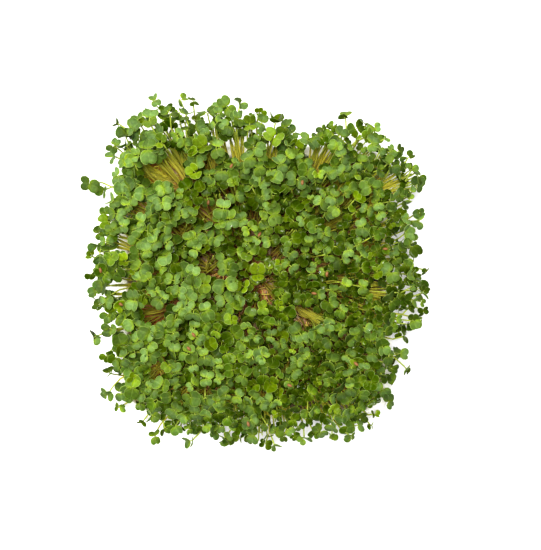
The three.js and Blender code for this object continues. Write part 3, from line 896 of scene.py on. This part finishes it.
class MICROGREENS_OT_leaves(bpy.types.Operator):
    """Grow the pair of seed leaves on every stem"""

    bl_idname = "microgreens.leaves"
    bl_label = "Seed Leaves"

    def execute(self, context):
        seedlings = seedlings_of(context)
        settings = context.scene.seedling_settings
        dry = seed_leaf_material("living_seed_leaf", settings, 0.0)
        misted = seed_leaf_material("misted_seed_leaf", settings, 0.5)
        draw = np.random.default_rng(settings.seed + 7)
        pairs = (seedlings.count, 2)
        bends = np.stack(
            [
                draw.normal(*CUP, pairs),
                draw.normal(*DROOP, pairs),
                draw.normal(*FOLD, pairs),
                draw.uniform(0, 2 * math.pi, pairs),
                draw.uniform(*LOBE_OFFSET, pairs),
            ],
            -1,
        )
        # Leaves in the middle are younger. Lower in the canopy they are darker green with less bloom,
        # which is painted shade, and towards -X and +Y they are brighter, which is painted light.
        inner = np.exp(-((seedlings.share[:, None] / 0.35) ** 2))
        young = seedlings.young[:, None] * 0.5
        x, y = seedlings.spots.T[:, :, None] / FIELD_HALF
        outer = 0.3 * seedlings.share[:, None] ** 2 + 0.1 * y
        deep = 1 - 0.7 * seedlings.share[:, None] ** 4
        above = np.clip(seedlings.above / 6, -1.6, 0.6)[:, None] * deep
        wet = np.exp(-np.sum((seedlings.heads[:, None, :2] - MIST_CENTRE) ** 2, -1) / MIST_FADE**2)
        # Brightness is random, plus painted shade lower in the canopy and painted light towards -X and +Y.
        tone = draw.normal(*BRIGHTNESS, pairs) + 0.3 * above - 0.15 * x * deep + 0.07 * y
        wax = draw.normal(*WAX, (seedlings.count, 1)) + draw.normal(*WAX_OF_LEAF, pairs)
        # The bloom also holds painted shade, less of it lower down, and a painted sheen, more on brighter
        # leaves.
        wax += outer - 0.12 * inner - young - 0.6 * wet + 0.45 * above + 1.1 * (tone - 0.5)
        yellow = draw.normal(*YELLOWING, pairs) + 0.12 * inner + young + 0.3 * wet
        leaf_tints_and_shade = np.clip(np.stack([wax, yellow, tone], -1), (0, 0, LEAST_BRIGHTNESS), 1)
        for number, (node, middle) in enumerate(zip(TUFT_NODES, tuft_places())):
            own = np.flatnonzero(seedlings.tuft == number)
            points, faces, place, soft = leaf_blades(
                seedlings.leaf_bases[own].reshape(-1, 3),
                seedlings.leaf_along[own].reshape(-1, 3),
                seedlings.leaf_up[own].reshape(-1, 3),
                seedlings.widths[own].ravel(),
                seedlings.lengths[own].ravel(),
                bends[own].reshape(-1, bends.shape[-1]),
            )
            each = len(points) // (2 * len(own))
            kind = np.repeat(leaf_tints_and_shade[own].reshape(-1, 3), each, axis=0)
            attributes = {"leaf_place": place, "leaf_tint_and_shade": kind}
            name = node.replace("tuft", "leaves")
            material = misted if math.dist(middle, MIST_CENTRE) < MIST_REACH else dry
            piece = new_piece(name, points, faces, material, "seedlings", attributes, soft)
            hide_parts(node)
        return {"FINISHED"}


STEM_STEPS = 7
STEM_SIDES = 6
STEM_TAPER = 0.78
STALK_STEPS = 4
STALK_SIDES = 4
STALK_RADII = (0.34, 0.18)
# How far stems bow aside, how far they wind and how many times.
SWAY = 0.7
WINDING = 0.5
WINDS = 1.2
# Fallen stems: how many, how thick, how far up a stem's colours they go, how bright they are, and how
# far inside the edge of the pad they stay.
FALLEN_IN_TUFT = 15
FALLEN_THICKNESS = 0.85
FALLEN_SHARE = 0.55
FALLEN_BRIGHTNESS = (0.3, 1.3)
PAD_MARGIN = 2.0
# Crowded stems: how thick, how many seedlings have one beside them, and how far below their heads or
# the canopy they end.
CROWDED_THICKNESS = 0.8
SHADED_SHARE = 0.45
SHADED_DEPTH = 2.6
BRUSH_DEPTH = 5


def stem_paths(foot, head, facing, draw):
    """Stems rise from their feet, bow outwards and turn up under their leaves."""
    sway = draw.normal(0, SWAY, foot.shape)
    tall = np.linalg.norm(head - foot, axis=1, keepdims=True)
    rise = unit(unit(head - foot) + 0.7 * UP)
    paths = bezier(
        foot,
        foot + rise * tall * 0.36 + sway,
        head - facing * tall * 0.3 - sway * 0.6,
        head,
        STEM_STEPS,
    )
    # Each stem also winds a little between its ends.
    share = np.linspace(0, 1, STEM_STEPS)
    phase = draw.uniform(0, 2 * math.pi, (len(foot), 1))
    wind = np.sin(2 * math.pi * WINDS * share + phase) * np.sin(math.pi * share)
    return paths + wind[..., None] * draw.normal(0, WINDING, (len(foot), 1, 3))


def crowded_stems(seedlings, draw):
    """The foot, head and tuft of stems whose leaves are lost under the canopy."""
    shaded = np.flatnonzero((draw.uniform(0, 1, seedlings.count) < SHADED_SHARE) & (seedlings.share < 0.93))
    feet = [seedlings.feet[shaded] + draw.normal(0, 1, (len(shaded), 3)) * (1.1, 1.1, 0)]
    aside = draw.normal(0, 1, (len(shaded), 3)) * (1.2, 1.2, 0.6)
    heads = [seedlings.heads[shaded] + aside - (0, 0, SHADED_DEPTH)]
    for foot, head, count, spread in STEM_BRUSHES:
        start = np.append(foot, PAD_TOP)
        share = field_share(*np.clip(head, -FIELD_HALF, FIELD_HALF))
        end = np.append(head, PAD_TOP + canopy_height(share) - BRUSH_DEPTH)
        feet.append(start + draw.normal(0, 0.45, (count, 3)) * (spread, spread, 0))
        heads.append(end + draw.normal(0, 0.55, (count, 3)) * (spread, spread, 2.5))
    feet = np.concatenate(feet)
    feet[:, :2] = np.clip(feet[:, :2], -FIELD_HALF, FIELD_HALF)
    nearest = np.linalg.norm(feet[:, None, :2] - tuft_places()[None], axis=-1)
    return feet, np.concatenate(heads), np.argmin(nearest, axis=1)


def stalk_paths(seedlings, own):
    """Two stalks fork from each head and run a little way under their leaves."""
    head = np.repeat(seedlings.heads[own], 2, axis=0)
    facing = np.repeat(seedlings.facing[own], 2, axis=0)
    base = seedlings.leaf_bases[own].reshape(-1, 3)
    along = seedlings.leaf_along[own].reshape(-1, 3)
    end = base + along * 1.2 - seedlings.leaf_up[own].reshape(-1, 3) * 0.1
    return bezier(head - facing * 0.4, head + facing * 0.7, base - along * 0.4, end, STALK_STEPS)


def fallen_paths(middle, draw):
    """Spindly seedlings that fell over under the canopy and lie in low arcs, mostly outwards."""
    count = FALLEN_IN_TUFT
    outward = math.atan2(middle[1], middle[0])
    heading = level_directions(outward + draw.normal(0, 1.1, count))
    side = np.cross(heading, UP) * draw.normal(0, 3.5, (count, 1))
    foot = np.column_stack([middle + draw.normal(0, 3.6, (count, 2)), np.full(count, PAD_TOP - 0.6)])
    length = draw.uniform(9, 19, (count, 1))
    lift = draw.uniform(2.5, 11, (count, 1)) * UP
    paths = bezier(
        foot,
        foot + heading * length * 0.15 + lift,
        foot + heading * length * 0.7 + lift * 1.1 + side,
        foot + heading * length + lift * 0.5 + side,
        STEM_STEPS,
    )
    limit = PAD_HALF_TOP - PAD_MARGIN
    paths[..., :2] = np.clip(paths[..., :2], -limit, limit)
    return paths


class MICROGREENS_OT_stems(bpy.types.Operator):
    """Grow the stems, the leaf stalks and the fallen seedlings of every tuft"""

    bl_idname = "microgreens.stems"
    bl_label = "Stems"

    def execute(self, context):
        seedlings = seedlings_of(context)
        settings = context.scene.seedling_settings
        material = stem_material(settings)
        draw = np.random.default_rng(settings.seed + 19)
        taper = np.linspace(1.0, STEM_TAPER, STEM_STEPS)
        radius = settings.stem_radius / MM
        crowded_feet, crowded_heads, crowded_tuft = crowded_stems(seedlings, draw)
        for number, (node, middle) in enumerate(zip(TUFT_NODES, tuft_places())):
            own = np.flatnonzero(seedlings.tuft == number)
            crowd = np.flatnonzero(crowded_tuft == number)
            foot = np.concatenate([seedlings.feet[own], crowded_feet[crowd]]) - UP
            head = np.concatenate([seedlings.heads[own], crowded_heads[crowd]])
            lean = unit(unit(crowded_heads[crowd] - crowded_feet[crowd]) + UP)
            facing = np.concatenate([seedlings.facing[own], lean])
            thick = np.where(np.arange(len(foot)) < len(own), radius, radius * CROWDED_THICKNESS)
            stems = tubes(stem_paths(foot, head, facing, draw), taper * thick[:, None], STEM_SIDES)
            stalks = tubes(stalk_paths(seedlings, own), np.linspace(*STALK_RADII, STALK_STEPS), STALK_SIDES)
            fallen = tubes(fallen_paths(middle, draw), taper * radius * FALLEN_THICKNESS, STALK_SIDES)
            points, faces = joined([part[:2] for part in (stems, stalks, fallen)])
            share = np.concatenate([stems[2], np.ones(len(stalks[2])), fallen[2] * FALLEN_SHARE])
            tones = draw.uniform(0, 1, len(foot))
            shade = draw.uniform(*FALLEN_BRIGHTNESS, FALLEN_IN_TUFT)
            tone = np.concatenate([tones[stems[3]], tones[stalks[3] // 2], shade[fallen[3]]])
            place = np.column_stack([share, tone, np.zeros(len(share))])
            name = node.replace("tuft", "stems")
            piece = new_piece(name, points, faces, material, "seedlings", {"stem_place": place})
            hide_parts(node)
        return {"FINISHED"}


ROOT_STEPS = 4
ROOT_SIDES = 4
ROOT_RADII = (0.2, 0.06)


class MICROGREENS_OT_roots(bpy.types.Operator):
    """Spread fine surface roots round the foot of every stem"""

    bl_idname = "microgreens.roots"
    bl_label = "Surface Roots"

    def execute(self, context):
        seedlings = seedlings_of(context)
        settings = context.scene.pad_settings
        draw = np.random.default_rng(31)
        foot = seedlings.feet + 0.3 * UP
        heading = level_directions(draw.uniform(0, 2 * math.pi, len(foot)))
        side = np.cross(heading, UP) * draw.normal(0, 0.8, (len(foot), 1))
        length = draw.uniform(1.2, 3.2, (len(foot), 1))
        end = foot + heading * length
        paths = bezier(foot, foot + heading * length * 0.3, end + side, end - 0.55 * UP, ROOT_STEPS)
        points, faces, *_ = tubes(paths, np.linspace(*ROOT_RADII, ROOT_STEPS), ROOT_SIDES)
        material = fibre_material("fine_roots", settings.root, DAMP_ROOT)
        new_piece("surface_roots", points, faces, material, "seedlings")
        return {"FINISHED"}


# Of all the beads the first lie near the middle of the mist, and the rest are spread further out.
BEADS = 60
NEAR_BEADS = 26
NEAR_SPREAD = 8
FAR_SPREAD = 30
BEAD_RADII = (0.3, 0.62)
BEAD_STEPS = 7
BEAD_SIDES = 9
BEAD_FLATNESS = 0.62


class MICROGREENS_OT_mist(bpy.types.Operator):
    """Leave beads of water on leaves, most closely round the middle of the mist"""

    bl_idname = "microgreens.mist"
    bl_label = "Mist"

    def execute(self, context):
        seedlings = seedlings_of(context)
        draw = np.random.default_rng(43)
        spread = np.where(np.arange(BEADS) < NEAR_BEADS, NEAR_SPREAD, FAR_SPREAD)
        places = draw.normal(0, 1, (BEADS, 2)) * spread[:, None]
        middle, along, up = seedlings.resting(places + np.array(MIST_CENTRE))
        spot = draw.uniform(-1, 1, (BEADS, 2))
        middle = middle + along * spot[:, :1] * 0.9 + np.cross(up, along) * spot[:, 1:] * 1.2
        radius = draw.uniform(*BEAD_RADII, (BEADS, 1))
        # A bead is a tube up from the leaf whose rings follow a flattened ball.
        turn = np.linspace(0.0, math.pi, BEAD_STEPS)[None, :]
        rise = 0.12 - np.cos(turn) * radius * BEAD_FLATNESS
        paths = middle[:, None] + up[:, None] * rise[..., None]
        rings = np.maximum(np.sin(turn), 0.12) * radius
        points, faces, *_ = tubes(paths, rings, BEAD_SIDES)
        new_piece("water_beads", points, faces, water_material(), "seedlings")
        return {"FINISHED"}


# ------------------------------------------------------------------ pad


def rounded_square(half, z, side_steps, corner_steps, flute=0.0):
    """Points of a rounded square at height z, whose straight sides wave in by flute."""
    along = np.linspace(-CORNER_CENTRE, CORNER_CENTRE, side_steps, endpoint=False)
    wave = flute * 0.5 * (1 - np.cos(2 * math.pi * (along + CORNER_CENTRE) / FLUTE_PITCH))
    side = np.column_stack([half - wave, along])
    angle = np.linspace(0, math.pi / 2, corner_steps, endpoint=False)
    radius = half - CORNER_CENTRE
    corner = CORNER_CENTRE + radius * np.column_stack([np.cos(angle), np.sin(angle)])
    quarter = np.concatenate([side, corner])
    turns = [np.array([[c, s], [-s, c]]) for c, s in ((1, 0), (0, 1), (-1, 0), (0, -1))]
    ring = np.concatenate([quarter @ turn for turn in turns])
    return np.column_stack([ring, np.full(len(ring), z)])


PAD_SIDE_STEPS = 24
PAD_CORNER_STEPS = 8
PAD_FACE_RINGS = 60
FELT_HEIGHT = 0.14


class MICROGREENS_OT_pad(bpy.types.Operator):
    """Lay the fibre growing pad"""

    bl_idname = "microgreens.pad"
    bl_label = "Growing Pad"

    def execute(self, context):
        settings = context.scene.pad_settings
        draw = np.random.default_rng(5)
        # Half and height, up the side and over the rounded edge.
        profile = (
            (PAD_HALF_BOTTOM - 0.6, PAD_BOTTOM),
            (PAD_HALF_BOTTOM, PAD_BOTTOM + 0.6),
            (PAD_HALF_TOP, PAD_TOP - 0.9),
            (PAD_HALF_TOP - 0.2, PAD_TOP - 0.3),
            (PAD_HALF_TOP - 0.6, PAD_TOP),
        )
        *rings, outer = [rounded_square(*place, PAD_SIDE_STEPS, PAD_CORNER_STEPS) for place in profile]
        for share in np.linspace(1, 0.02, PAD_FACE_RINGS):
            ring = outer * np.array([share, share, 1.0])
            ring[:, 2] += draw.normal(0, FELT_HEIGHT, len(ring)) - 0.15
            rings.append(ring)
        material = fibre_material("felted_fibre", settings.fibre, DAMP_FIBRE)
        piece = new_piece("fibre_pad", *lofted(rings), material, "pad")
        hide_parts("growing_pad")
        return {"FINISHED"}


# Half the length of a husk on the leaves and on the pad, and its radius as a share of that.
LIFTED_HUSK_HALF = 1.3
LYING_HUSK_HALF = (0.6, 0.95)
HUSK_FULLNESS = 0.55
HUSK_STEPS = 5
HUSK_SIDES = 6
FIBRE_RADIUS = 0.11
FIBRE_STEPS = 5
FIBRE_SIDES = 3
FIBRE_LENGTH = (3, 8)


class MICROGREENS_OT_litter(bpy.types.Operator):
    """Scatter spent seed husks and loose fibres"""

    bl_idname = "microgreens.litter"
    bl_label = "Husks and Fibres"

    def execute(self, context):
        settings = context.scene.pad_settings
        draw = np.random.default_rng(23)
        leaf_middle, _, leaf_up = seedlings_of(context).resting(HUSKS_ON_LEAVES)
        lifted = leaf_middle + leaf_up * 0.5
        lying = draw.uniform(-FIELD_HALF, FIELD_HALF, (settings.husks, 3))
        lying[:, 2] = PAD_TOP + 0.35
        middle = np.concatenate([lifted, lying])
        lying_half = draw.uniform(*LYING_HUSK_HALF, len(lying))
        half = np.concatenate([np.full(len(lifted), LIFTED_HUSK_HALF), lying_half])
        heading = level_directions(draw.uniform(0, 2 * math.pi, len(middle)))
        heading[:, 2] = draw.uniform(-0.3, 0.3, len(middle))
        steps = np.linspace(-1, 1, HUSK_STEPS)
        paths = middle[:, None] + unit(heading)[:, None] * (steps[:, None] * half[:, None, None])
        radii = HUSK_FULLNESS * half[:, None] * np.sqrt(np.maximum(1 - steps**2, 0.02))
        points, faces, *_ = tubes(paths, radii, HUSK_SIDES)
        new_piece("seed_husks", points, faces, husk_material(settings), "pad")

        start = draw.uniform(-FIELD_HALF, FIELD_HALF, (settings.fibres, 3))
        start[:, 2] = PAD_TOP + draw.uniform(0.1, 0.5, settings.fibres)
        heading = level_directions(draw.uniform(0, 2 * math.pi, len(start)))
        side = np.cross(heading, UP) * draw.normal(0, 2.2, (len(start), 1))
        length = draw.uniform(*FIBRE_LENGTH, (len(start), 1))
        lift = draw.uniform(0, 1.2, (len(start), 1)) * UP
        paths = bezier(
            start,
            start + heading * length * 0.35 + lift,
            start + heading * length * 0.7 + side,
            start + heading * length,
            FIBRE_STEPS,
        )
        points, faces, *_ = tubes(paths, FIBRE_RADIUS, FIBRE_SIDES)
        material = fibre_material("loose_fibre", settings.fibre, DAMP_LOOSE_FIBRE)
        new_piece("loose_fibres", points, faces, material, "pad")
        return {"FINISHED"}


# ------------------------------------------------------------------ tray


def bar(length, width, bottom, top, y):
    """A bar along X with its upper edges bevelled."""
    rise = top - bottom
    bevel = min(RIB_BEVEL, width / 3)
    across = np.array([-width / 2, -width / 2, bevel - width / 2, width / 2 - bevel, width / 2, width / 2])
    up = np.array([0, rise - bevel, rise, rise, rise - bevel, 0]) + bottom
    ends = []
    for x in (-length / 2, length / 2):
        ends.append(np.column_stack([np.full(len(up), x), across + y, up])[::-1])
    return lofted(ends)


def cut_or_join(piece, points, faces, operation):
    """Joins a shape to a piece, or cuts it out."""
    tool = new_piece("tool", points, faces, piece.data.materials[0], "tray")
    change = piece.modifiers.new("change", "BOOLEAN")
    change.object = tool
    change.operation = operation
    change.solver = "EXACT"
    result = bpy.data.meshes.new_from_object(piece.evaluated_get(bpy.context.evaluated_depsgraph_get()))
    piece.modifiers.clear()
    piece.data = result
    bpy.data.objects.remove(tool)


TRAY_SIDE_STEPS = 64
TRAY_CORNER_STEPS = 12
SHARP_ANGLE = math.radians(40)


class MICROGREENS_OT_tray(bpy.types.Operator):
    """Mould the tray"""

    bl_idname = "microgreens.tray"
    bl_label = "Tray"

    def execute(self, context):
        settings = context.scene.tray_settings
        flute = settings.flute_depth / MM
        under = TRAY_HEIGHT - LIP_THICKNESS
        lip_end = TRAY_HEIGHT - LIP_DROP
        # Half, height and flute depth, up the outside, over the lip and down to the floor.
        profile = (
            (BASE_HALF - 1.0, 0, 0),
            (BASE_HALF - 0.3, 0.15, 0),
            (BASE_HALF, 0.6, 0.1 * flute),
            (FOOT_HALF, FOOT_HEIGHT, flute),
            (NECK_HALF, NECK_HEIGHT, flute),
            (NECK_HALF + 0.2, under - 1.2, 0.3 * flute),
            (NECK_HALF + 0.6, under, 0),
            (RIM_HALF - LIP_WALL - 0.4, under, 0),
            (RIM_HALF - LIP_WALL, under - 0.4, 0),
            (RIM_HALF - LIP_WALL, lip_end, 0),
            (RIM_HALF - 0.3, lip_end, 0),
            (RIM_HALF, lip_end + 0.3, 0),
            (RIM_HALF, TRAY_HEIGHT - 1.0, 0),
            (RIM_HALF - 0.3, TRAY_HEIGHT - 0.3, 0),
            (RIM_HALF - 1.0, TRAY_HEIGHT, 0),
            (NECK_HALF + 0.2, TRAY_HEIGHT, 0),
            (NECK_HALF - 0.4, TRAY_HEIGHT - 0.4, 0),
            (NECK_HALF - 0.8, TRAY_HEIGHT - 1.4, 0.2 * flute),
            (NECK_HALF - TRAY_WALL, NECK_HEIGHT, flute),
            (FOOT_HALF - TRAY_WALL, FOOT_HEIGHT + 0.6, flute),
            (BASE_HALF - TRAY_WALL - 0.2, TRAY_FLOOR + 0.5, 0),
            (BASE_HALF - TRAY_WALL - 1.2, TRAY_FLOOR, 0),
        )
        steps = (TRAY_SIDE_STEPS, TRAY_CORNER_STEPS)
        rings = [rounded_square(half, z, *steps, depth) for half, z, depth in profile]
        piece = new_piece("tray_shell", *lofted(rings), plastic_material(settings), "tray")
        lines = [side * y for y in RIB_LINES for side in (-1, 1)]
        ribs = [bar(RIB_LENGTH, RIB_WIDTH, TRAY_FLOOR / 2, RIB_TOP, y) for y in lines]
        grooves = [bar(RIB_GROOVE_LENGTH, RIB_GROOVE_WIDTH, -1.0, RIB_GROOVE_TOP, y) for y in lines]
        cut_or_join(piece, *joined(ribs), "UNION")
        cut_or_join(piece, *joined(grooves), "DIFFERENCE")
        piece.data.shade_smooth()
        piece.data.set_sharp_from_angle(angle=SHARP_ANGLE)
        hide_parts("tray")
        return {"FINISHED"}


# ------------------------------------------------------------------ stage

ROOM_STRENGTH = 0.46
# In metres: half the side of the floor, and how far the camera sees.
FLOOR_HALF = 3
CAMERA_SIGHT = 20.0
# Name, place and size in metres, and power in watts, of each softbox.
SOFTBOXES = (
    ("overhead_softbox", (-0.03, 0.07, 1.3), 0.2, 13.5),
    ("side_softbox", (-0.7, 0.5, 0.9), 0.5, 6.0),
)


class MICROGREENS_OT_stage(bpy.types.Operator):
    """Set up the floor, the light and the camera"""

    bl_idname = "microgreens.stage"
    bl_label = "Stage"

    def execute(self, context):
        settings = context.scene.stage_settings
        scene = context.scene
        mesh = bpy.data.meshes.new("floor")
        corners = [(x * FLOOR_HALF, y * FLOOR_HALF, 0) for x, y in ((-1, -1), (1, -1), (1, 1), (-1, 1))]
        mesh.from_pydata(corners, [], [(0, 1, 2, 3)])
        mesh.materials.append(paper_material(settings))
        floor = bpy.data.objects.new("floor", mesh)
        scene.collection.objects.link(floor)

        world = bpy.data.worlds.new("soft_white_room")
        world.use_nodes = True
        background = world.node_tree.nodes["Background"]
        background.inputs["Color"].default_value = to_linear("#FFFFFF")
        background.inputs["Strength"].default_value = ROOM_STRENGTH
        scene.world = world

        for name, place, size, power in SOFTBOXES:
            light = bpy.data.lights.new(name, "AREA")
            light.shape = "SQUARE"
            light.size = size
            light.energy = power
            lamp = bpy.data.objects.new(name, light)
            lamp.location = place
            lamp.rotation_euler = (-lamp.location).to_track_quat("-Z", "Y").to_euler()
            scene.collection.objects.link(lamp)

        camera = bpy.data.cameras.new("camera")
        camera.sensor_fit = "HORIZONTAL"
        camera.lens = camera.sensor_width * settings.camera_height / settings.view_width
        camera.clip_end = CAMERA_SIGHT
        eye = bpy.data.objects.new("camera", camera)
        eye.location = (settings.camera_x, settings.camera_y, PAD_TOP * MM + settings.camera_height)
        scene.collection.objects.link(eye)
        scene.camera = eye
        scene.view_settings.view_transform = "Standard"
        scene.view_settings.look = "High Contrast"
        return {"FINISHED"}


# ------------------------------------------------------------------ add-on


SETTINGS = {
    "seedling_settings": SeedlingSettings,
    "pad_settings": PadSettings,
    "tray_settings": TraySettings,
    "stage_settings": StageSettings,
}
OPERATORS = (
    MICROGREENS_OT_leaves,
    MICROGREENS_OT_stems,
    MICROGREENS_OT_roots,
    MICROGREENS_OT_mist,
    MICROGREENS_OT_pad,
    MICROGREENS_OT_litter,
    MICROGREENS_OT_tray,
    MICROGREENS_OT_stage,
)


class MICROGREENS_PT_panel(bpy.types.Panel):
    """Lists the settings and the steps that dress the tray"""

    bl_label = "Microgreens Tray"
    bl_idname = "MICROGREENS_PT_panel"
    bl_space_type = "VIEW_3D"
    bl_region_type = "UI"
    bl_category = "Microgreens"

    def draw(self, context):
        for name, group in SETTINGS.items():
            box = self.layout.box()
            for key in group.__annotations__:
                box.prop(getattr(context.scene, name), key)
        for operator in OPERATORS:
            self.layout.operator(operator.bl_idname)


def register():
    for name, group in SETTINGS.items():
        bpy.utils.register_class(group)
        setattr(bpy.types.Scene, name, bpy.props.PointerProperty(type=group))
    for operator in OPERATORS:
        bpy.utils.register_class(operator)
    bpy.utils.register_class(MICROGREENS_PT_panel)


def unregister():
    bpy.utils.unregister_class(MICROGREENS_PT_panel)
    for operator in reversed(OPERATORS):
        bpy.utils.unregister_class(operator)
    for name, group in reversed(SETTINGS.items()):
        delattr(bpy.types.Scene, name)
        bpy.utils.unregister_class(group)


def main():
    register()
    for operator in OPERATORS:
        group, name = operator.bl_idname.split(".")
        getattr(getattr(bpy.ops, group), name)()


if __name__ == "__main__":
    main()
